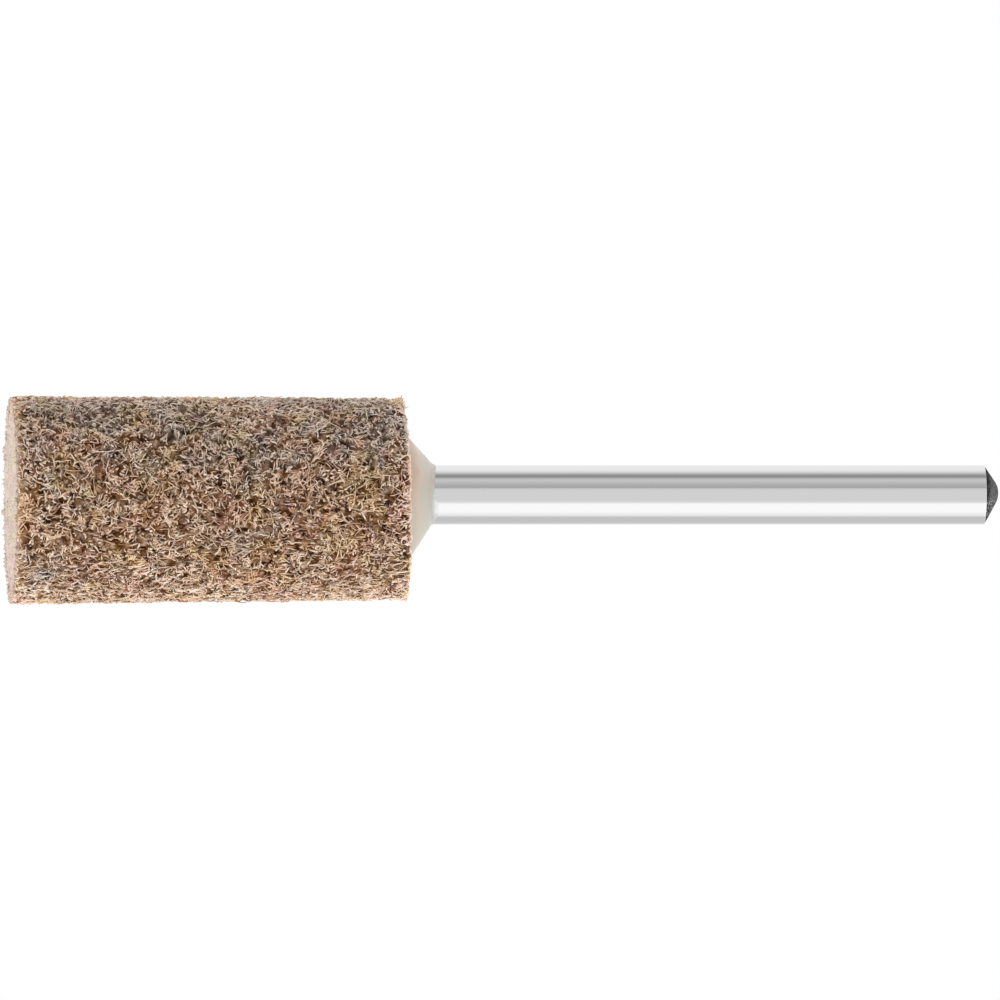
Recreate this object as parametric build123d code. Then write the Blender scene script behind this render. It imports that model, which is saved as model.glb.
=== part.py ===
from build123d import *
from math import cos, radians, sin, tan
import os

# A felt polishing point: a fibre head bonded onto a round steel shank. Lengths are millimetres.
# It stands on the flat front face of its head. The origin is the centre of that face, and +Z
# runs up the axis, through the head and out along the shank.

# Head: a cylinder of bonded fibre that narrows a little towards the shank
head_length = 20.0
head_front_diameter = 10.4
head_back_diameter = 10.1
head_front_rounding = 0.4
head_back_rounding = 0.25

# Shank: a standard 3 mm pin, held in the head by the length that goes into the bore
shank_diameter = 3.0
shank_in_head = 12.0
shank_out_of_head = 29.5
shank_inner_chamfer = 0.4

# Shank's outer end: a blunt cone with a rounded tip and a narrow broken edge
tip_half_angle = 59.0
tip_rounding = 0.85
tip_edge_break = 0.06

# Ring grooves round the shank's hidden stretch, which key it into the resin
groove_count = 4
groove_depth = 0.25
groove_floor = 0.4
groove_flank = 0.3
groove_pitch = 3.2
groove_below_resin_edge = 0.1

# Bore in the head's back: drilled, with room round the shank for the resin
bore_clearance = 0.2
bore_below_shank = 0.5
drill_half_angle = 59.0

# Resin: the cone that stands on the head's back face and its thin lip on the shank
resin_base_radius = 3.35
resin_cone_height = 1.45
resin_neck_radius = 1.64
resin_lip_height = 0.17

head_back_radius = head_back_diameter / 2
head_front_radius = head_front_diameter / 2
shank_radius = shank_diameter / 2
shank_inner_end = head_length - shank_in_head
shank_cone_start = head_length + shank_out_of_head
bore_radius = shank_radius + bore_clearance
resin_neck = head_length + resin_cone_height
resin_edge = resin_neck + resin_lip_height


def turned(section):
    """Solid that a half-section, drawn in the XZ plane, makes as it turns about the Z axis."""
    return revolve(section, Axis.Z, 360)


def in_section(points):
    """Points of (radius, height) as points in the XZ plane."""
    return [(radius, 0, height) for radius, height in points]


def half_section(*points):
    """Closed face in the XZ plane with straight sides between points of (radius, height)."""
    return make_face(Polyline(*in_section(points), close=True))


def bore_space():
    """Space that the drill leaves: the bore from the head's back face down to the drill's point."""
    bottom = shank_inner_end - bore_below_shank
    point = bottom - bore_radius / tan(radians(drill_half_angle))
    return turned(
        half_section(
            (0, head_length),
            (bore_radius, head_length),
            (bore_radius, bottom),
            (0, point),
        )
    )


def polishing_head():
    """Tapered cylinder with both edges rounded and the blind bore in its back face."""
    body = turned(
        half_section(
            (0, 0),
            (head_front_radius, 0),
            (head_back_radius, head_length),
            (0, head_length),
        )
    )
    rims = body.edges().filter_by(GeomType.CIRCLE).sort_by(Axis.Z)
    body = fillet(rims[0], head_front_rounding)
    rims = body.edges().filter_by(GeomType.CIRCLE).sort_by(Axis.Z)
    body = fillet(rims[-1], head_back_rounding)
    return body - bore_space()


def groove_corners():
    """Corners of the row of ring grooves, as (radius, height), from the lowest groove upwards."""
    floor_radius = shank_radius - groove_depth
    width = groove_floor + 2 * groove_flank
    row_height = (groove_count - 1) * groove_pitch + width
    row_start = resin_edge - groove_below_resin_edge - row_height
    corners = []
    for index in range(groove_count):
        lower_edge = row_start + index * groove_pitch
        upper_edge = lower_edge + width
        corners.append((shank_radius, lower_edge))
        corners.append((floor_radius, lower_edge + groove_flank))
        corners.append((floor_radius, upper_edge - groove_flank))
        corners.append((shank_radius, upper_edge))
    return corners


def rounded_tip(side_radius, side_height):
    """Points where the tip's cone meets its arc, halfway along the arc and at its top."""
    half_angle = radians(tip_half_angle)
    sharp_tip = side_height + side_radius / tan(half_angle)
    arc_centre = sharp_tip - tip_rounding / sin(half_angle)
    points = []
    for angle in (half_angle, (half_angle + radians(90)) / 2, radians(90)):
        points.append((tip_rounding * cos(angle), arc_centre + tip_rounding * sin(angle)))
    return points


def shank():
    """Round pin with a chamfered, grooved stretch in the head and a conical end outside."""
    edge = (shank_radius - tip_edge_break, shank_cone_start + tip_edge_break)
    cone_meets_arc, middle_of_arc, tip = rounded_tip(*edge)
    bottom = (0, shank_inner_end)
    side = [
        bottom,
        (shank_radius - shank_inner_chamfer, shank_inner_end),
        (shank_radius, shank_inner_end + shank_inner_chamfer),
        *groove_corners(),
        (shank_radius, shank_cone_start),
        edge,
        cone_meets_arc,
    ]
    outline = Curve() + [
        Polyline(*in_section(side)),
        ThreePointArc(*in_section([cone_meets_arc, middle_of_arc, tip])),
        Line(*in_section([tip, bottom])),
    ]
    return turned(make_face(outline))


def bonding_resin():
    """Resin that fills the bore round the shank and stands as a cone on the head's back face."""
    cone = turned(
        half_section(
            (0, head_length),
            (resin_base_radius, head_length),
            (resin_neck_radius, resin_neck),
            (shank_radius, resin_edge),
            (0, resin_edge),
        )
    )
    return bore_space() + cone - shank()


def main():
    """Write each physical piece to its own file, in place."""
    os.makedirs("parts", exist_ok=True)
    pieces = {
        "polishing_head": polishing_head(),
        "shank": shank(),
        "bonding_resin": bonding_resin(),
    }
    for name, piece in pieces.items():
        export_step(piece, f"parts/{name}.step")
        print(name, "volume", round(piece.volume, 2), "mm3")


main()
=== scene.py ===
import math

import bpy
import numpy as np
from mathutils import Matrix, Vector


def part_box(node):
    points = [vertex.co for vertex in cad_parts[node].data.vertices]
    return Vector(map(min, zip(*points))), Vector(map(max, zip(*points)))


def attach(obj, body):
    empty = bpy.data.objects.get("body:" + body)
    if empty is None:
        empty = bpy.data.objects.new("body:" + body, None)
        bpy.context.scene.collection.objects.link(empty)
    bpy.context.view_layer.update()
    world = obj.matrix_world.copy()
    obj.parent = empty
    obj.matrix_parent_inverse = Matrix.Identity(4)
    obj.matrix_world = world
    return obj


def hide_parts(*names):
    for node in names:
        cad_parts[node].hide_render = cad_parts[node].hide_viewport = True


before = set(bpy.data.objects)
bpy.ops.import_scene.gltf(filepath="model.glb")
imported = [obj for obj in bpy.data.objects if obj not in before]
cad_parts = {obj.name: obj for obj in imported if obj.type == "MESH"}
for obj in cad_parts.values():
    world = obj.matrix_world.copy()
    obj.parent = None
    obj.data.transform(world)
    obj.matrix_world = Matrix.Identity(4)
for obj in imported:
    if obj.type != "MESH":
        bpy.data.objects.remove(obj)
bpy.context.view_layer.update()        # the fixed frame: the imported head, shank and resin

# Felt polishing point. It stands on the front face of its head, with +Z out along the shank.
# Everything is in metres, so a size is written as a number of millimetres times mm.
mm = 0.001
full_turn = 2 * math.pi

_, head_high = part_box("polishing_head")
shank_low, shank_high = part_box("shank")
_, resin_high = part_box("bonding_resin")
head_length = head_high.z
shank_radius = shank_high.x
resin_base_radius = resin_high.x

# Head: radius of its felt at each end, and how far its middle lies from the shank's axis, along X
front_radius = 5.23 * mm
back_radius = 5.08 * mm
front_rounding = 0.15 * mm
back_rounding = 0.1 * mm
front_offset = 0.28 * mm
back_offset = 0.21 * mm

# How far each end face lies inside the solid head, how much higher the back face stands at angle 0
# than at its middle, and how far the skin of the side runs in over the front face
front_sunk = 0.16 * mm
back_sunk = 0.02 * mm
back_slant = 0.105 * mm
face_overlap = 0.3 * mm

# Felt: depth of its hollows, the height of its swells, the spread of a tuft of fibres, and the angle
# round the axis where the fibres lie in streaks
hollow_depth = 0.18 * mm
swell_height = 0.026 * mm
tuft_spread = 0.09 * mm
streak_angle = math.radians(-50)

# Matted core: how deep its skin lies under the fibres, and the height of its lumps, of its swelling
# by the front rim and of its grain
core_sunk = 0.13 * mm
lump_height = 0.07 * mm
rim_swelling = 0.08 * mm
core_grain = 0.02 * mm

# Front face: how far its rim lies inside the felt's, and how much further at angles 0 and 180, where
# the face also stands higher; then the rim's teeth, fray and bend, and the face's roughness
rim_inset = 0.1 * mm
further_inset = 0.2 * mm
higher_there = 0.09 * mm
tooth_height = 0.2 * mm
fray_depth = 0.03 * mm
rim_bend = 0.06 * mm
face_roughness = 0.012 * mm

# Fibres: sides of each, its sharpest kink, the range of thickness round that of its kind, and how
# far it follows the hollow at its root and those under its bends
strand_sides = 3
sharpest_kink = 1.4
thickness_range = (0.7, 1.3)
follows_root = 0.4
follows_bends = 0.5

# Fibres laid along the axis in the streaks: the largest share of them, and how they differ from the
# rest in length, in kinks and in slope
laid_share = 0.3
laid_length = 1.15
laid_kink = 0.4
laid_slope = 0.6

# Clipping: the range of heights where fibres are clipped, the share that is left of what stood above,
# and the height above the floor of the lowest fibre
clipped_range = (-0.05 * mm, 0.03 * mm)
left_above = 0.35
lowest_fibre = 0.002 * mm

# Tone of fibres, from 0 for dark to 1 for pale: its mean and spread, and how much paler they are
# towards the tip, by the front rim and by the back rim. Along each fibre the dark root and pale tip
# are painted shade and light, and the paler rims are painted light
mean_tone = 0.62
tone_spread = 0.28
tip_paler = 0.25
front_rim_paler = 0.16
back_rim_paler = 0.25

# Shank's inner end and the ring grooves that key it into the resin inside the head
inner_chamfer = 0.4 * mm
groove_count = 3
groove_start = 10.92 * mm
groove_pitch = 3.2 * mm
groove_depth = 0.25 * mm
groove_flank = 0.3 * mm
groove_floor = 0.4 * mm
plain_start = 22.0 * mm

# Shank's outer end: a cone behind a narrow broken edge, whose top leans to one side
shank_cone_start = 49.535 * mm
tip_edge_break = 0.01 * mm
tip_half_angle = math.radians(58.5)
tip_rounding = 1.1 * mm
tip_lean = 0.1 * mm
torn_depth = 0.012 * mm

# Resin's foot: how far it spreads all round, leans along X and goes down into the felt
foot_spread = 0.12 * mm
foot_lean = 0.25 * mm
foot_depth = 0.4 * mm

# Resin's edge on the shank: its height, how far it climbs or falls on either side and dips between
# them, how far below it the neck lies and how thick the resin is there
edge_height = 21.566 * mm
edge_climb = 0.093 * mm
edge_dip = 0.14 * mm
neck_drop = 0.145 * mm
neck_thickness = 0.115 * mm

# Resin's flank and film: how uneven the flank is, how thick the film is and how far it runs
unevenness = 0.012 * mm
film_thickness = 0.004 * mm
shortest_film = 0.01 * mm
longest_film = 0.39 * mm

# Camera: nearly level with the shank, a little in front of the head's face
camera_distance = 1.6
camera_dip = math.radians(4.5)
picture_width = 50.584 * mm
picture_centre = Vector((0.26 * mm, 0.0, 24.955 * mm))
sensor_width = 36.0


def new_object(name, data):
    """Scene object for a mesh or a camera."""
    made = bpy.data.objects.new(name, data)
    bpy.context.scene.collection.objects.link(made)
    return made


def mesh_piece(name, vertices, faces, material):
    """Smooth-shaded object from an array of vertices and a list of faces."""
    mesh = bpy.data.meshes.new(name)
    mesh.from_pydata(vertices, [], faces)
    mesh.polygons.foreach_set("use_smooth", np.ones(len(mesh.polygons), dtype=bool))
    mesh.materials.append(material)
    mesh.update()
    return new_object(name, mesh)


def store(piece, name, values):
    """Stores a number on each vertex of a piece, for its material to read by name."""
    attribute = piece.data.attributes.new(name, "FLOAT", "POINT")
    attribute.data.foreach_set("value", values.astype(np.float32).ravel())


def declare(piece, node):
    """The piece stands for a solid of the frame, which it hides, and joins the root body."""
    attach(piece, "root")
    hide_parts(node)


class Graph:
    """Short way to add and join the nodes of a material or of the world."""

    def __init__(self, tree):
        self.tree = tree
        self.tree.nodes.clear()

    def node(self, kind, values=None, **settings):
        """Adds a node. Settings are its own, and values are for its inputs: numbers or sockets."""
        made = self.tree.nodes.new(kind)
        for name, value in settings.items():
            setattr(made, name, value)
        for name, value in (values or {}).items():
            socket = made.inputs[name]
            if isinstance(value, bpy.types.NodeSocket):
                self.tree.links.new(value, socket)
            else:
                socket.default_value = value
        return made

    def math(self, operation, a, b=0.0, c=0.0):
        """Result of a sum on numbers or sockets."""
        made = self.node("ShaderNodeMath", {0: a, 1: b, 2: c}, operation=operation)
        return made.outputs[0]

    def inverse(self, share):
        """What a share leaves of 1."""
        return self.math("SUBTRACT", 1.0, share)

    def mix(self, share, a, b, blend="MIX"):
        """Colour b over colour a, by a share. These are a mix node's inputs 0, 6 and 7."""
        made = self.node("ShaderNodeMix", {0: share, 6: a, 7: b}, data_type="RGBA", blend_type=blend)
        return made.outputs[2]

    def ramp(self, share, stops):
        """Colours of a ramp, whose stops are (place, colour), at a share."""
        made = self.node("ShaderNodeValToRGB", {"Fac": share})
        elements = made.color_ramp.elements
        while len(elements) < len(stops):
            elements.new(1.0)
        for element, (place, colour) in zip(elements, stops):
            element.position = place
            element.color = colour
        return made.outputs["Color"]

    def noise(self, place, size, detail=2.0, roughness=0.5, distortion=0.0):
        """Smooth random numbers from 0 to 1 that change over about this size."""
        values = {
            "Vector": place,
            "Scale": 1.0 / size,
            "Detail": detail,
            "Roughness": roughness,
            "Distortion": distortion,
        }
        return self.node("ShaderNodeTexNoise", values).outputs["Fac"]

    def step(self, value, low, high):
        """0 below low, 1 above high, and a smooth rise between."""
        values = {"Value": value, "From Min": low, "From Max": high}
        made = self.node("ShaderNodeMapRange", values, interpolation_type="SMOOTHSTEP")
        return made.outputs["Result"]

    def stored(self, name):
        """Number that the piece stores on its vertices under a name."""
        return self.node("ShaderNodeAttribute", attribute_name=name).outputs["Fac"]

    def place(self):
        """Place on the object."""
        return self.node("ShaderNodeTexCoord").outputs["Object"]

    def scaled(self, place, x, y, z):
        """Place in which a noise is drawn out along the axes whose scale is below 1."""
        return self.node("ShaderNodeMapping", {"Vector": place, "Scale": (x, y, z)}).outputs["Vector"]

    def parts(self, vector):
        """Outputs X, Y and Z of a vector."""
        return self.node("ShaderNodeSeparateXYZ", {"Vector": vector}).outputs


def material_graph(name):
    """New material and its empty graph."""
    material = bpy.data.materials.new(name)
    material.use_nodes = True
    return material, Graph(material.node_tree)


def surface(graph, values):
    """Gives the material a surface with these inputs."""
    shader = graph.node("ShaderNodeBsdfPrincipled", values)
    graph.node("ShaderNodeOutputMaterial", {"Surface": shader.outputs["BSDF"]})


def colour(red, green, blue):
    """Linear colour from the 0 to 255 values of a screen colour."""

    def linear(value):
        share = value / 255.0
        if share <= 0.04045:
            return share / 12.92
        return ((share + 0.055) / 1.055) ** 2.4

    return (linear(red), linear(green), linear(blue), 1.0)


def grey(light):
    """Linear grey that is this light."""
    return (light, light, light, 1.0)


def felt_colour(graph, depth):
    """Colour of felt: tan by its tone, dark brown as painted shade deep in the hollows, tinted in
    patches.
    """
    tan = graph.ramp(
        graph.stored("tone"),
        [
            (0.0, colour(116, 80, 44)),
            (0.3, colour(186, 148, 114)),
            (0.6, colour(228, 198, 172)),
            (0.85, colour(244, 220, 198)),
            (1.0, colour(250, 232, 216)),
        ],
    )
    # Painted shade: dark brown laid over the tan by the depth share, deep in the hollows
    shaded = graph.mix(depth, tan, colour(70, 34, 6))
    dull = graph.node("ShaderNodeHueSaturation", {"Saturation": 0.72, "Value": 0.86, "Color": shaded})
    tinted = graph.mix(graph.stored("grey"), shaded, dull.outputs["Color"])
    tinted = graph.mix(graph.stored("ochre"), tinted, colour(254, 250, 223), "MULTIPLY")
    tinted = graph.mix(graph.stored("pink"), tinted, colour(255, 240, 245), "MULTIPLY")
    return graph.mix(graph.stored("pale"), tinted, colour(218, 196, 180))


def strand_material():
    """Fibres with their own tones, painted shade at roots and in hollows, painted light at tips and
    rims; they shine a little.
    """
    material, graph = material_graph("felt_strands")
    fibre = felt_colour(graph, graph.stored("depth"))
    surface(graph, {"Base Color": fibre, "Roughness": 0.55, "Specular IOR Level": 0.1})
    return material


def core_material():
    """Matted body under the loose fibres: dark brown as painted shade among them, with paler fluff and
    lumps.
    """
    material, graph = material_graph("felt_core")
    place = graph.place()
    clouds = graph.noise(place, size=0.09 * mm, detail=3.0, roughness=0.6, distortion=1.0)
    fluff = graph.math("MULTIPLY", graph.step(clouds, low=0.35, high=0.7), 0.6)
    grain = graph.math("MULTIPLY_ADD", graph.noise(place, size=0.06 * mm), 0.9, 0.5)
    lump = graph.math("MULTIPLY", graph.stored("lump"), grain)
    # Painted shade: dark brown save at paler fluff and lumps, which turn dark again deep in the hollows
    paler = graph.math("MAXIMUM", fluff, lump)
    lit = graph.math("MULTIPLY", paler, graph.inverse(graph.stored("depth")))
    matted = felt_colour(graph, graph.inverse(lit))
    surface(graph, {"Base Color": matted, "Roughness": 0.9, "Specular IOR Level": 0.0})
    return material


def face_material():
    """Front face, sliced flat: pale, with cut fibres and seams, and tan where its rim bends."""
    material, graph = material_graph("felt_cut_face")
    place = graph.place()
    along_fibres = graph.scaled(place, 1.0, 0.13, 1.0)
    cream = graph.ramp(
        graph.noise(along_fibres, size=0.3 * mm, detail=3.0, roughness=0.6),
        [(0.3, colour(194, 175, 162)), (0.7, colour(217, 202, 191))],
    )
    hue = graph.ramp(
        graph.noise(along_fibres, size=0.7 * mm),
        [(0.35, colour(255, 243, 248)), (0.65, colour(249, 251, 236))],
    )
    marked = graph.mix(1.0, cream, hue, "MULTIPLY")
    specks = graph.step(graph.noise(along_fibres, size=0.09 * mm, detail=1.0), low=0.62, high=0.67)
    marked = graph.mix(graph.math("MULTIPLY", specks, 0.8), marked, colour(104, 84, 70))
    wander = graph.noise(place, size=1.5 * mm)
    across = graph.math("MULTIPLY_ADD", wander, 0.3 * mm, graph.parts(place)["X"])
    for seam in (0.5 * mm, 0.68 * mm, 1.5 * mm):
        distance = graph.math("ABSOLUTE", graph.math("SUBTRACT", across, seam))
        line = graph.inverse(graph.step(distance, low=0.008 * mm, high=0.035 * mm))
        marked = graph.mix(graph.math("MULTIPLY", line, 0.4), marked, colour(146, 126, 108))
    edged = graph.mix(graph.stored("rim"), marked, colour(176, 145, 121))
    surface(graph, {"Base Color": edged, "Roughness": 0.85})
    return material


def between(first, last, share):
    """Value that lies a share of the way from the first to the last."""
    return first + (last - first) * share


def rise(values, low, high):
    """0 below low, 1 above high, and a smooth rise between."""
    share = np.clip((values - low) / (high - low), 0.0, 1.0)
    return share * share * (3 - 2 * share)


def unit(vectors):
    """Vectors brought to a length of 1. One that has no length stays so."""
    least_length = 1e-12
    return vectors / (np.linalg.norm(vectors, axis=-1, keepdims=True) + least_length)


def around_axis(angle, radius, height):
    """Points, or directions, at an angle round the Z axis."""
    parts = np.broadcast_arrays(radius * np.cos(angle), radius * np.sin(angle), height)
    return np.stack(parts, axis=-1)


def angles_round(count):
    """Even angles round a full turn."""
    return np.linspace(0.0, full_turn, count, endpoint=False)


def waves(points, size, seed, stretch=1.0):
    """Smooth random numbers round 0 with a spread of 1, which change over about this size.

    With a stretch above 1 they change more slowly along Z.
    """
    random = np.random.default_rng(seed)
    count = 30
    ways = unit(random.normal(size=(count, 3)))
    ways *= (math.pi / (size * random.uniform(0.7, 1.5, count)))[:, None]
    ways[:, 2] /= stretch
    phases = random.uniform(0.0, full_turn, count)
    total = np.zeros(points.shape[:-1])
    for way, phase in zip(ways, phases):
        total += np.cos(points @ way + phase)
    return total / math.sqrt(count / 2)


def head_profile():
    """Outline of the head from the rim of its front face, up its side and in over its back face.

    Gives the length along the outline, and the radius, height and outward direction there.
    """
    quarter = np.linspace(0.0, math.pi / 2, 9)
    back_height = head_length - back_sunk
    front_inside = front_radius - front_rounding - face_overlap
    back_inside = 0.85 * resin_base_radius
    front_radii = front_radius - front_rounding * (1 - np.sin(quarter))
    front_heights = front_sunk + front_rounding * (1 - np.cos(quarter))
    back_radii = back_radius - back_rounding * (1 - np.cos(quarter))
    back_heights = back_height - back_rounding * (1 - np.sin(quarter))
    radii = np.concatenate([[front_inside], front_radii, back_radii, [back_inside]])
    heights = np.concatenate([[front_sunk], front_heights, back_heights, [back_height]])
    steps = np.hypot(np.diff(radii), np.diff(heights))
    length = np.concatenate([[0.0], np.cumsum(steps)])
    even = np.linspace(0.0, length[-1], 1200)
    radius = np.interp(even, length, radii)
    height = np.interp(even, length, heights)
    outward = unit(np.stack([np.gradient(height), -np.gradient(radius)], axis=1))
    return even, radius, height, outward


outline_length, outline_radius, outline_height, outline_outward = head_profile()

# Place along the outline where the rounding of the front rim turns into the side
side_start = face_overlap + front_rounding * math.pi / 4


def on_head(angle, along, lift=0.0):
    """Points at a lift above the head's skin, and the outward direction there."""
    radius = np.interp(along, outline_length, outline_radius)
    height = np.interp(along, outline_length, outline_height)
    out = np.interp(along, outline_length, outline_outward[:, 0])
    up = np.interp(along, outline_length, outline_outward[:, 1])
    outward = around_axis(angle, out, up)
    points = around_axis(angle, radius, height) + outward * np.asarray(lift)[..., None]
    share = height / head_length
    points[..., 0] += between(front_offset, back_offset, share)
    points[..., 2] += back_slant * (1 + np.cos(angle)) * share
    return points, outward


def from_rim(along):
    """How far up the side a place along the outline lies."""
    return np.maximum(along - side_start, 0.0)


def ragged_rim(angle):
    """How far the front rim reaches below the front face, most at the points of its teeth."""
    place = around_axis(angle, front_radius, 0.0)
    teeth = 1.0 - np.minimum(np.abs(waves(place, 0.18 * mm, seed=10)) / 0.7, 1.0)
    size = between(0.2, 1.0, rise(waves(place, 0.4 * mm, seed=16), -0.8, 0.8))
    return tooth_height * teeth * size


def streaks(angle):
    """1 where the fibres lie along the axis, and 0 where they lie every way."""
    return np.clip(2.0 * np.cos(angle - streak_angle) ** 2 - 0.9, 0.0, 1.0)


def hollows(angle, along):
    """Depth of the felt's hollows: roundish pits, and thin broken cracks that run along the axis."""
    place, _ = on_head(angle, along)
    pits = rise(waves(place, 0.22 * mm, seed=1), 0.7, 1.7)
    crack = 1.0 - rise(np.abs(waves(place, 0.3 * mm, seed=2, stretch=2.0)), 0.12, 0.4)
    broken = rise(waves(place, 0.5 * mm, seed=9), -0.1, 0.7)
    swell = swell_height * waves(place, 0.5 * mm, seed=3)
    on_side = rise(along, side_start, 1.2 * mm)
    return hollow_depth * np.maximum(pits, crack * broken) * on_side - swell


def shade_depth(lift, along, deepest, highest):
    """Painted shade of felt at a lift: 1 at the deepest and 0 at the highest, and 0 at the front rim.
    """
    return (1.0 - rise(lift, deepest, highest)) * rise(from_rim(along), 0.0, 0.5 * mm)


def felt_marks(piece, points, angle, along, tone, depth):
    """Stores on the piece what the felt's colour depends on."""
    grey_patches_and_side_shade = 0.5 * waves(points, 0.7 * mm, seed=4) + 0.7 * waves(points, 1.8 * mm, seed=13)
    # More grey on the half towards -X: grey patches, whose dulling also darkens that side as painted
    # shade
    grey_patches_and_side_shade += 2.0 * rise(-np.cos(angle), -0.1, 0.8) - 0.45
    ochre_patches = 0.6 * waves(points, 0.6 * mm, seed=5) + 0.8 * waves(points, 1.7 * mm, seed=14)
    pink_patches = 0.6 * waves(points, 0.5 * mm, seed=6) + 0.8 * waves(points, 1.4 * mm, seed=15)
    front_edge = rise(side_start - along, -0.05 * mm, 0.1 * mm)
    store(piece, "tone", tone)
    store(piece, "depth", depth)
    store(piece, "grey", 0.95 * rise(grey_patches_and_side_shade, -0.1, 1.8) * rise(from_rim(along), 0.0, 1.2 * mm))
    store(piece, "ochre", 0.75 * rise(ochre_patches, 0.1, 1.6))
    store(piece, "pink", 0.65 * rise(pink_patches, 0.1, 1.6))
    store(piece, "pale", front_edge * (1.0 - 0.65 * np.cos(angle) ** 8))


def rings(rows, around):
    """Faces between the rows of a closed band whose rows have this many vertices."""
    row = np.arange(rows - 1)[:, None] * around
    column = np.arange(around)[None, :]
    beside = (column + 1) % around
    quads = np.stack([row + column, row + beside, row + around + beside, row + around + column], -1)
    return quads.reshape(-1, 4).tolist()


def capped_rings(rows, around):
    """Flat cap on the first row of a closed band, the faces between its rows, and its last cap."""
    last = (rows - 1) * around
    first_cap = list(range(around))[::-1]
    last_cap = list(range(last, last + around))
    return [first_cap] + rings(rows, around) + [last_cap]


def tubes(points, outward, radii):
    """Thin closed tubes along rows of points: vertices and faces for all of them.

    points is (strands, bends, 3), outward the direction away from the head at each of them,
    and radii is (strands, bends).
    """
    count, bends, _ = points.shape
    along = unit(np.gradient(points, axis=1))
    side = np.cross(along[:, :1], outward[:, :1])
    across = unit(side - along * np.sum(side * along, axis=2, keepdims=True))
    up = np.cross(across, along)
    turn = angles_round(strand_sides) + math.pi / 2
    ring = across[:, :, None] * np.cos(turn)[:, None] + up[:, :, None] * np.sin(turn)[:, None]
    vertices = points[:, :, None] + ring * radii[:, :, None, None]
    first = np.arange(count)[:, None, None] * bends * strand_sides
    low = first + np.arange(bends - 1)[None, :, None] * strand_sides
    high = low + strand_sides
    corner = np.arange(strand_sides)
    beside = (corner + 1) % strand_sides
    quads = np.stack([low + corner, high + corner, high + beside, low + beside], axis=-1)
    start_caps = first[:, 0] + corner
    end_caps = first[:, 0] + (bends - 1) * strand_sides + corner[::-1]
    faces = quads.reshape(-1, 4).tolist() + start_caps.tolist() + end_caps.tolist()
    return vertices.reshape(-1, 3), faces


def fibre_piece(name, material, points, outward, radii):
    """Object of fibres that stand above the floor, and its vertices."""
    vertices, faces = tubes(points, outward, radii)
    vertices[:, 2] = np.maximum(vertices[:, 2], lowest_fibre)
    piece = mesh_piece(name, vertices, faces, material)
    declare(piece, "polishing_head")
    return piece, vertices


def tuft_roots(random, tufts, in_tuft):
    """Angle, place along the outline and heading of fibres that grow in tufts all over the head."""

    def for_tufts(highest):
        """Random number up to this for each tuft, given to all of its fibres."""
        return np.repeat(random.uniform(0.0, highest, tufts), in_tuft)

    count = tufts * in_tuft
    tuft_angle = for_tufts(full_turn)
    tuft_along = for_tufts(outline_length[-1])
    tuft_heading = for_tufts(full_turn)
    angle = tuft_angle + random.normal(0.0, tuft_spread, count) / front_radius
    along = tuft_along + random.normal(0.0, tuft_spread, count)
    heading = tuft_heading + random.normal(0.0, math.radians(38), count)
    return angle, along, heading


def combed(random, angle, heading):
    """Headings after some fibres in the streaks are laid along the axis, and which ones are."""
    count = len(angle)
    laid = random.uniform(0.0, 1.0, count) < laid_share * streaks(angle)
    along_axis = np.where(np.sin(heading) > 0, 0.5, -0.5) * math.pi
    along_axis += random.normal(0.0, math.radians(16), count)
    return np.where(laid, along_axis, heading), laid


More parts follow.
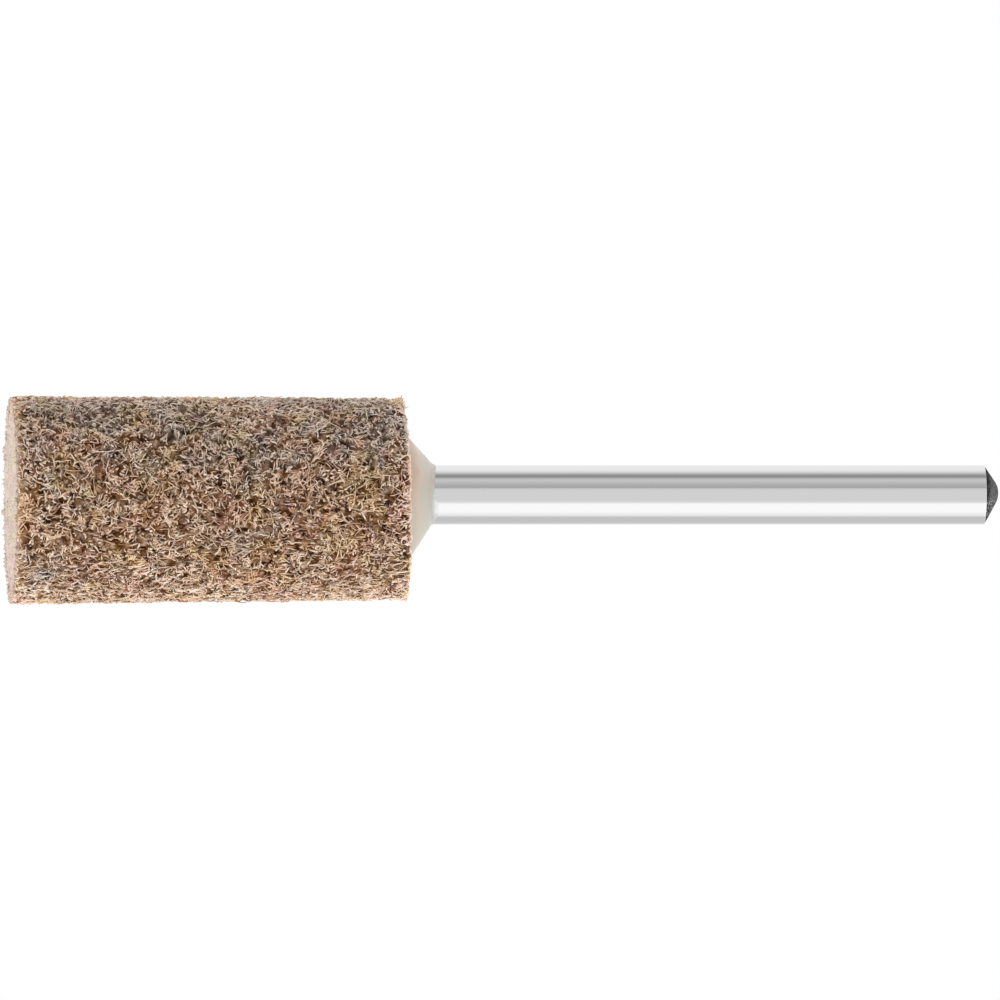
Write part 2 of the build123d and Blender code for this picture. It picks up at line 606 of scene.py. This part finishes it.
def strand_piece(name, material, seed, tufts, in_tuft, length, root_lift, slopes, kink, radius, runs):
    """Fibres in small tufts all over the head, each a few straight runs that meet at kinks.

    Ranges are (least, most). slopes are those of the first and of the last run, in degrees.
    """
    random = np.random.default_rng(seed)
    count = tufts * in_tuft

    def spread(low, high):
        """Random number in a range for each fibre."""
        return random.uniform(low, high, (count, 1))

    angle, along, heading = tuft_roots(random, tufts, in_tuft)
    heading, laid = combed(random, angle, heading)
    angle, along, heading, laid = (values[:, None] for values in (angle, along, heading, laid))
    lengths = spread(*length) * np.where(laid, laid_length, 1.0)
    turns = random.standard_t(3, (count, runs)) * math.radians(kink)
    turns = np.clip(turns, -sharpest_kink, sharpest_kink) * np.where(laid, laid_kink, 1.0)
    way = heading + np.cumsum(turns, axis=1)
    first_slope = np.radians(spread(*slopes[0]))
    last_slope = np.radians(spread(*slopes[1]))
    slope = between(first_slope, last_slope, np.linspace(0.0, 1.0, runs))
    slope = slope * np.where(laid, laid_slope, 1.0)

    def walked(pace):
        """Distance gone at the root and after each run, by the pace of each run."""
        moved = np.cumsum(pace * lengths / runs, axis=1)
        return np.concatenate([np.zeros((count, 1)), moved], axis=1)

    angles = angle + walked(np.cos(slope) * np.cos(way)) / front_radius
    alongs = np.clip(along + walked(np.cos(slope) * np.sin(way)), 0.0, outline_length[-1])
    lift = walked(np.sin(slope)) + spread(*root_lift)
    lift = lift - follows_root * hollows(angle, along) - follows_bends * hollows(angles, alongs)
    clipped_at = spread(*clipped_range)
    lift = np.where(lift > clipped_at, between(clipped_at, lift, left_above), lift)
    points, outward = on_head(angles, alongs, lift)
    share = np.linspace(0.0, 1.0, runs + 1)
    radii = radius * spread(*thickness_range) * (1.0 - 0.35 * share**3)
    piece, _ = fibre_piece(name, material, points, outward, radii)
    # Paler towards the tip: painted shade at the root and painted light at the tip
    tone = random.normal(mean_tone, tone_spread, (count, 1)) + tip_paler * (share - 0.5)
    # Paler by the front rim and by the back rim: painted light
    tone = tone + front_rim_paler * np.exp(-from_rim(alongs) / (1.3 * mm))
    tone = tone + back_rim_paler * rise(alongs, head_length - 1.0 * mm, head_length)
    tone = np.clip(tone, 0.0, 1.0)
    # Painted shade on fibres that lie deep in the hollows
    depth = shade_depth(lift, alongs, -0.3 * mm, -0.05 * mm)

    def at_corners(values):
        """Values of the bends, repeated for the vertices round each of them."""
        return np.repeat(values.ravel(), strand_sides)

    places = np.repeat(points.reshape(-1, 3), strand_sides, axis=0)
    felt_marks(piece, places, *(at_corners(values) for values in (angles, alongs, tone, depth)))


def bristles(name, material, seed, roots, ways, length, radius):
    """Short fibres that stand out from roots along ways, each with one slight kink."""
    random = np.random.default_rng(seed)
    count = len(roots)
    lengths = random.uniform(*length, count)[:, None, None]
    share = np.linspace(0.0, 1.0, 3)[None, :, None]
    kink = random.normal(0.0, 0.3, (count, 1, 3)) * share**2
    points = roots[:, None] + (ways[:, None] * share + kink) * lengths
    radii = radius * random.uniform(*thickness_range, (count, 1)) * (1.0 - 0.4 * share[..., 0])
    sideways = np.cross(ways, random.normal(size=(count, 3)))
    return fibre_piece(name, material, points, sideways[:, None], radii)


def front_fringe(material):
    """Pale fibres that fray the cut edge of the front face."""
    random = np.random.default_rng(61)
    count = 700
    angle = random.uniform(0.0, full_turn, count)
    radius = front_radius - random.uniform(0.02 * mm, 0.2 * mm, count)
    height = front_sunk + random.uniform(-0.02 * mm, 0.04 * mm, count)
    roots = around_axis(angle, radius, height) + [front_offset, 0.0, 0.0]
    way = angle + random.normal(0.0, math.radians(50), count)
    dip = np.radians(random.uniform(0.0, 75.0, count))
    ways = around_axis(way, np.cos(dip), -np.sin(dip))
    bristles("front_fringe", material, 62, roots, ways, (0.03 * mm, 0.08 * mm), 0.022 * mm)


def back_tufts(material):
    """Torn tufts that stick out of the edge of the back face."""
    random = np.random.default_rng(63)
    tufts, in_tuft = 12, 10
    count = tufts * in_tuft
    placed = np.radians([176.0, 188.0])
    middles = np.concatenate([placed, random.uniform(0.0, full_turn, tufts - len(placed))])
    angle = np.repeat(middles, in_tuft) + random.normal(0.0, 0.12 * mm, count) / back_radius
    radius = back_radius - random.uniform(0.02 * mm, 0.2 * mm, count)
    height = head_length - back_sunk - random.uniform(0.0, 0.2 * mm, count)
    height += back_slant * (1 + np.cos(angle))
    roots = around_axis(angle, radius, height) + [back_offset, 0.0, 0.0]
    lean = np.repeat(random.uniform(0.1, 1.2, tufts), in_tuft) + random.normal(0.0, 0.3, count)
    ways = around_axis(angle, np.cos(lean), np.sin(lean))
    length = (0.05 * mm, 0.15 * mm)
    piece, vertices = bristles("back_tufts", material, 64, roots, ways, length, 0.035 * mm)
    angles = np.repeat(angle, len(vertices) // count)
    along = np.full(len(vertices), head_length)
    felt_marks(piece, vertices, angles, along, tone=np.full(len(vertices), 0.5), depth=0 * along)


def felt_core(material):
    """Matted body of the head, whose skin is lumpy and pitted."""
    around, up = 340, 200
    along = np.linspace(0.0, outline_length[-1], up)
    alongs, angles = np.meshgrid(along, angles_round(around), indexing="ij")
    place, _ = on_head(angles, alongs)
    lump = rise(waves(place, 0.2 * mm, seed=12), 0.2, 1.3)
    near_rim = np.exp(-((from_rim(alongs) / (0.3 * mm)) ** 2)) * rise(alongs, 0.1 * mm, 0.35 * mm)
    filled = np.maximum(lump_height * lump, rim_swelling * near_rim)
    sunk = hollows(angles, alongs) + core_sunk - filled
    grain = core_grain * waves(place, 0.13 * mm, seed=7)
    points, _ = on_head(angles, alongs, grain - sunk)
    vertices = points.reshape(-1, 3)
    piece = mesh_piece("felt_core", vertices, capped_rings(up, around), material)
    tone = np.clip(0.36 + 0.2 * waves(place, 0.2 * mm, seed=8), 0.0, 1.0)
    # Painted shade on the core's skin deep in its hollows
    depth = shade_depth(-sunk, alongs, -0.33 * mm, -0.1 * mm)
    felt_marks(piece, vertices, angles.ravel(), alongs.ravel(), tone.ravel(), depth.ravel())
    # Paler on its lumps, and paler by the front rim as painted light
    store(piece, "lump", np.maximum(0.55 * lump, 0.7 * near_rim))
    declare(piece, "polishing_head")


def front_face(material):
    """Sliced front of the head: a rough disc whose toothed rim bends back over the side."""
    around, rows = 1000, 25
    share = 1.0 - np.linspace(0.98, 0.0, rows) ** 1.8
    shares, angles = np.meshgrid(share, angles_round(around), indexing="ij")
    flat = around_axis(angles, shares * front_radius, 0.0)
    lip = rise(shares, 0.97, 0.985)
    bend = rise(shares, 0.985, 1.0)
    fray = fray_depth * waves(flat, 0.1 * mm, seed=31)
    rim_radius = front_radius - rim_inset - further_inset * np.cos(angles) ** 8
    height = front_sunk - ragged_rim(angles) * lip + rim_bend * bend
    height += higher_there * (shares * np.cos(angles)) ** 2
    height += face_roughness * waves(flat, 0.12 * mm, seed=33)
    points = around_axis(angles, rim_radius * shares + fray * bend, np.maximum(height, lowest_fibre))
    points[..., 0] += front_offset

    # Row that leads the rim up into the felt, out of sight
    skirt = points[-1] * [0.985, 0.985, 0.0] + [0.0, 0.0, 0.45 * mm]
    vertices = np.vstack([points.reshape(-1, 3), skirt, [[front_offset, 0.0, front_sunk]]])
    centre = len(vertices) - 1
    faces = rings(rows + 1, around)
    faces += [(centre, (column + 1) % around, column) for column in range(around)]
    piece = mesh_piece("felt_front_face", vertices, faces, material)
    tan = rise(bend, 0.2, 0.8) * (1.0 - 0.8 * np.cos(angles) ** 8)
    store(piece, "rim", np.concatenate([tan.ravel(), np.ones(around), [0.0]]))
    declare(piece, "polishing_head")


def steel_material():
    """Ground and polished steel: very slightly wavy, with fine dull rings left by the grinding."""
    material, graph = material_graph("polished_steel")
    place = graph.place()
    wave = graph.noise(graph.scaled(place, 1.0, 1.0, 0.12), size=0.6 * mm)
    bump = graph.node("ShaderNodeBump", {"Height": wave, "Strength": 0.05, "Distance": 0.02 * mm})
    grinding = graph.noise(graph.scaled(place, 0.1, 0.1, 1.0), size=0.05 * mm, detail=3.0)
    values = {
        "Base Color": grey(0.65),
        "Metallic": 1.0,
        "Roughness": graph.math("MULTIPLY_ADD", grinding, 0.05, 0.015),
        "Normal": bump.outputs["Normal"],
    }
    surface(graph, values)
    return material


def rough_steel_material():
    """Sheared steel of the shank's end: dark, with painted shade at the cone's base and torn flecks
    towards +X that also paint that side lighter.
    """
    material, graph = material_graph("rough_steel")
    place = graph.place()
    parts = graph.parts(place)
    grain = graph.noise(place, size=0.13 * mm, detail=4.0, roughness=0.8)
    # Painted shade: darker at the base of the cone, paler towards its top
    towards_top = graph.step(parts["Z"], low=shank_cone_start, high=shank_cone_start + 0.35 * mm)
    lit = graph.math("MULTIPLY_ADD", towards_top, 0.26, graph.math("SUBTRACT", grain, 0.16))
    dark = graph.ramp(lit, [(0.4, (0.01, 0.01, 0.011, 1.0)), (0.62, (0.16, 0.16, 0.165, 1.0))])
    flecks = graph.step(graph.noise(place, size=0.09 * mm), low=0.55, high=0.62)
    # Flecks only towards +X: torn steel, and painted light on that side
    torn_and_lit_side = graph.step(parts["X"], low=0.0, high=0.5 * mm)
    spotted = graph.mix(graph.math("MULTIPLY", flecks, torn_and_lit_side), dark, (0.55, 0.55, 0.56, 1.0))
    values = {"Base Color": spotted, "Metallic": 0.7, "Roughness": 0.5, "Specular Tint": grey(0.15)}
    surface(graph, values)
    return material


def tip_profile():
    """Radius and height from the rim of the shank's end to its rounded top."""
    edge_radius = shank_radius - tip_edge_break
    tip_edge_height = shank_cone_start + tip_edge_break
    sharp_top = tip_edge_height + edge_radius / math.tan(tip_half_angle)
    middle = sharp_top - tip_rounding / math.sin(tip_half_angle)
    meet_radius = tip_rounding * math.cos(tip_half_angle)
    meet_height = middle + tip_rounding * math.sin(tip_half_angle)
    profile = []
    for share in np.linspace(0.0, 1.0, 28):
        radius = between(edge_radius, meet_radius, share)
        profile.append((radius, between(tip_edge_height, meet_height, share)))
    for angle in np.linspace(tip_half_angle, math.radians(89), 14)[1:]:
        profile.append((tip_rounding * math.cos(angle), middle + tip_rounding * math.sin(angle)))
    return profile


def shank_side():
    """Radius and height from the shank's chamfered inner end, over its grooves, to its outer edge."""
    closed_radius = 0.0005 * mm
    side = [
        (closed_radius, shank_low.z),
        (shank_radius - inner_chamfer, shank_low.z),
        (shank_radius, shank_low.z + inner_chamfer),
    ]
    for groove in range(groove_count):
        lower = groove_start + groove * groove_pitch
        upper = lower + 2 * groove_flank + groove_floor
        side.append((shank_radius, lower))
        side.append((shank_radius - groove_depth, lower + groove_flank))
        side.append((shank_radius - groove_depth, upper - groove_flank))
        side.append((shank_radius, upper))
    for height in np.linspace(plain_start, shank_cone_start, 12):
        side.append((shank_radius, height))
    return side


def shank(polished, rough):
    """Pin with its chamfered hidden end, its ring grooves and its rough conical end."""
    around = 240
    side = shank_side()
    profile = np.array(side + tip_profile())
    vertices = around_axis(angles_round(around), profile[:, :1], profile[:, 1:])
    torn_rows = vertices[len(side) + 1 :]
    torn = waves(torn_rows, 0.07 * mm, seed=41) + waves(torn_rows, 0.16 * mm, seed=42)
    torn_rows[..., 2] -= torn_depth * np.abs(torn)
    torn_rows[..., 0] -= tip_lean * rise(torn_rows[..., 2], shank_cone_start, shank_high.z)
    faces = capped_rings(len(profile), around)
    piece = mesh_piece("shank_steel", vertices.reshape(-1, 3), faces, polished)
    piece.data.materials.append(rough)
    first_rough = 1 + len(side) * around
    for polygon in piece.data.polygons[first_rough:]:
        polygon.material_index = 1
    piece.data.set_sharp_from_angle(angle=math.radians(25))
    declare(piece, "shank")


def resin_material():
    """Milky hardened resin: tan towards -X, grey-green towards +X, its clear film painted near white as
    a reflection.
    """
    material, graph = material_graph("milky_resin")
    place = graph.place()
    parts = graph.parts(place)
    cloud = graph.math("SUBTRACT", graph.noise(place, size=1.6 * mm), 0.5)
    towards_edge = graph.step(parts["Z"], low=head_length - 0.2 * mm, high=resin_high.z)
    share = graph.math("ADD", cloud, towards_edge)
    tan = graph.ramp(
        share,
        [
            (0.1, colour(183, 156, 136)),
            (0.5, colour(196, 178, 160)),
            (0.85, colour(186, 180, 168)),
            (1.0, colour(200, 193, 181)),
        ],
    )
    green = graph.ramp(
        share,
        [
            (0.1, colour(184, 171, 157)),
            (0.5, colour(194, 182, 166)),
            (0.85, colour(188, 184, 172)),
            (1.0, colour(199, 194, 184)),
        ],
    )
    green_side = graph.step(parts["X"], low=-1.2 * mm, high=1.2 * mm)
    milky = graph.mix(green_side, tan, green)
    thinner = graph.mix(graph.stored("thin"), milky, colour(190, 187, 184))
    values = {
        # Painted reflection: near white on the film where the shank's bright band shows through it
        "Base Color": graph.mix(graph.stored("film"), thinner, colour(246, 248, 251)),
        "Roughness": 0.3,
        "Subsurface Weight": 0.4,
        "Subsurface Radius": (1.0, 0.8, 0.6),
        "Subsurface Scale": 0.4 * mm,
    }
    surface(graph, values)
    return material


def resin(material):
    """Cone of resin with an uneven flank and a wavy edge, which runs out in a film on the shank."""
    around = 240
    angle = angles_round(around)
    facing = np.cos(angle)

    # 1 on the side that faces +X and -1 on the other, where the resin climbs the shank further
    side = np.tanh(6.0 * (facing - 0.05))
    base_radius = resin_base_radius + foot_spread + foot_lean * facing
    edge = edge_height - edge_climb * side - edge_dip * np.sin(angle) ** 2
    neck = edge - neck_drop + 0.1 * mm * side
    neck_radius = shank_radius + neck_thickness - 0.04 * mm * side
    edge_radius = shank_radius + film_thickness
    long_film = rise(facing, 0.0, 0.35) * (1.0 - 0.7 * rise(facing, 0.55, 0.95))
    film_length = between(shortest_film, longest_film, long_film)
    up_flank = np.linspace(0.0, 1.0, 26)
    up_lip = np.linspace(0.0, 1.0, 9)[1:]
    rows = []
    for share in up_flank:
        bulged = share - 0.02 * math.sin(math.pi * share)
        rows.append((between(base_radius, neck_radius, bulged), between(head_length, neck, share)))
    for share in up_lip:
        rows.append((between(neck_radius, edge_radius, share), between(neck, edge, share)))
    for share in up_lip:
        rows.append((edge_radius - 0.5 * film_thickness * share, edge + film_length * share))
    points = np.array([around_axis(angle, radius, height) for radius, height in rows])
    on_flank = 1.0 - rise(points[..., 2], neck - 0.3 * mm, neck)
    uneven = unevenness * waves(points, 0.9 * mm, seed=51) * on_flank
    points += around_axis(angle, uneven, 0.0)

    # Rows out of sight, down in the felt and in the shank
    foot = points[0] - [0.0, 0.0, foot_depth]
    inside = points[-1] * [0.97, 0.97, 1.0]
    vertices = np.concatenate([foot[None], points, inside[None]])
    height = vertices[..., 2]
    piece = mesh_piece("resin_cone", vertices.reshape(-1, 3), rings(len(vertices), around), material)
    # Painted reflection on the film: strongest towards +X, where the shank shows a bright band
    glint = rise(facing, 0.05, 0.3) * (1.0 - rise(facing, 0.55, 0.75))
    along_film = np.clip((height - edge) / film_length, 0.0, 1.0)
    store(piece, "thin", rise(height, between(neck, edge, 0.5), edge))
    store(piece, "film", along_film * between(0.35, 1.0, glint))
    declare(piece, "bonding_resin")


def floor():
    """Pale floor under the head, open to a camera that looks up from below it."""
    material, graph = material_graph("pale_floor")
    matt = graph.node("ShaderNodeBsdfDiffuse", {"Color": grey(0.86)})
    clear = graph.node("ShaderNodeBsdfTransparent")
    below = graph.node("ShaderNodeNewGeometry").outputs["Backfacing"]
    either = graph.node("ShaderNodeMixShader", {0: below, 1: matt.outputs[0], 2: clear.outputs[0]})
    graph.node("ShaderNodeOutputMaterial", {"Surface": either.outputs[0]})
    reach = 3.0
    corners = [(-reach, -reach, 0.0), (reach, -reach, 0.0), (reach, reach, 0.0), (-reach, reach, 0.0)]
    piece = mesh_piece("floor", corners, [(0, 1, 2, 3)], material)
    piece.visible_shadow = False
    piece.visible_diffuse = False
    piece.visible_glossy = False


def studio():
    """World of soft light panels that stand round the object, white where the camera looks."""
    world = bpy.data.worlds.new("studio")
    bpy.context.scene.world = world
    world.use_nodes = True
    graph = Graph(world.node_tree)
    way = graph.node("ShaderNodeTexCoord").outputs["Generated"]
    parts = graph.parts(way)
    towards_top = graph.math("MULTIPLY", parts["X"], -1.0)
    towards_camera = graph.math("MULTIPLY", parts["Y"], -1.0)
    turn = graph.math("ARCTAN2", towards_top, towards_camera)
    share = graph.math("MULTIPLY_ADD", turn, 1.0 / full_turn, 0.5)

    # Light of the panels at angles round the object, in degrees up from the camera's side
    panels = [
        (-180, 0.62),
        (-155, 0.6),
        (-130, 0.54),
        (-97, 0.56),
        (-90, 0.78),
        (-78, 0.9),
        (-68, 0.97),
        (-36, 0.97),
        (-31, 0.78),
        (-26, 0.67),
        (-18, 0.645),
        (18, 0.645),
        (25, 0.55),
        (28, 0.38),
        (42, 0.45),
        (57, 0.57),
        (64, 0.52),
        (70, 0.36),
        (77, 0.25),
        (83, 0.3),
        (93, 0.51),
        (101, 0.7),
        (115, 0.82),
        (140, 0.78),
        (180, 0.65),
    ]
    stripes = graph.ramp(share, [((angle + 180) / 360, grey(light)) for angle, light in panels])
    at_the_ends = graph.step(graph.math("ABSOLUTE", parts["Z"]), low=0.8, high=0.9)
    light = graph.mix(at_the_ends, stripes, grey(0.9))
    rays = graph.node("ShaderNodeLightPath").outputs
    strength = graph.math("MULTIPLY_ADD", rays["Is Diffuse Ray"], 0.3, 1.5)
    lit = graph.node("ShaderNodeBackground", {"Color": light, "Strength": strength})
    white = graph.node("ShaderNodeBackground", {"Color": grey(1.0), "Strength": 1.0})
    values = {0: rays["Is Camera Ray"], 1: lit.outputs[0], 2: white.outputs[0]}
    both = graph.node("ShaderNodeMixShader", values)
    graph.node("ShaderNodeOutputWorld", {"Surface": both.outputs[0]})


def camera():
    """Long lens at the photograph's side, rolled so that the shank points right."""
    data = bpy.data.cameras.new("camera")
    data.sensor_width = sensor_width
    data.lens = sensor_width * camera_distance / picture_width
    data.clip_end = 10.0
    back = Vector((0.0, -math.cos(camera_dip), -math.sin(camera_dip)))
    up = Vector((-1.0, 0.0, 0.0))
    right = up.cross(back)
    turn = Matrix((right, up, back)).transposed()
    seen_from = new_object("camera", data)
    seen_from.matrix_world = Matrix.Translation(picture_centre + back * camera_distance) @ turn.to_4x4()
    bpy.context.scene.camera = seen_from


# Fibres of each kind: how many there are, how long and thick, and how they lie
stubs = dict(
    tufts=4000,
    in_tuft=3,
    length=(0.15 * mm, 0.36 * mm),
    root_lift=(-0.25 * mm, -0.11 * mm),
    slopes=((20, 85), (-10, 60)),
    kink=16,
    radius=0.053 * mm,
    runs=2,
)
lying_fibres = dict(
    tufts=2500,
    in_tuft=3,
    length=(0.24 * mm, 0.57 * mm),
    root_lift=(-0.12 * mm, -0.03 * mm),
    slopes=((0, 30), (-35, -5)),
    kink=15,
    radius=0.045 * mm,
    runs=3,
)
fine_fibres = dict(
    tufts=3000,
    in_tuft=2,
    length=(0.2 * mm, 0.6 * mm),
    root_lift=(-0.1 * mm, 0.0),
    slopes=((0, 60), (-30, 20)),
    kink=14,
    radius=0.026 * mm,
    runs=3,
)
long_fibres = dict(
    tufts=420,
    in_tuft=2,
    length=(0.7 * mm, 1.3 * mm),
    root_lift=(-0.09 * mm, -0.02 * mm),
    slopes=((0, 12), (-14, 0)),
    kink=7,
    radius=0.032 * mm,
    runs=6,
)

camera()
studio()
bpy.context.scene.view_settings.view_transform = "Standard"
strands = strand_material()
cut = face_material()
felt_core(core_material())
front_face(cut)
front_fringe(cut)
back_tufts(strands)
strand_piece("stubs_a", strands, 21, **stubs)
strand_piece("stubs_b", strands, 22, **stubs)
strand_piece("lying", strands, 23, **lying_fibres)
strand_piece("fine", strands, 24, **fine_fibres)
strand_piece("long_fibres", strands, 25, **long_fibres)
shank(steel_material(), rough_steel_material())
resin(resin_material())
floor()
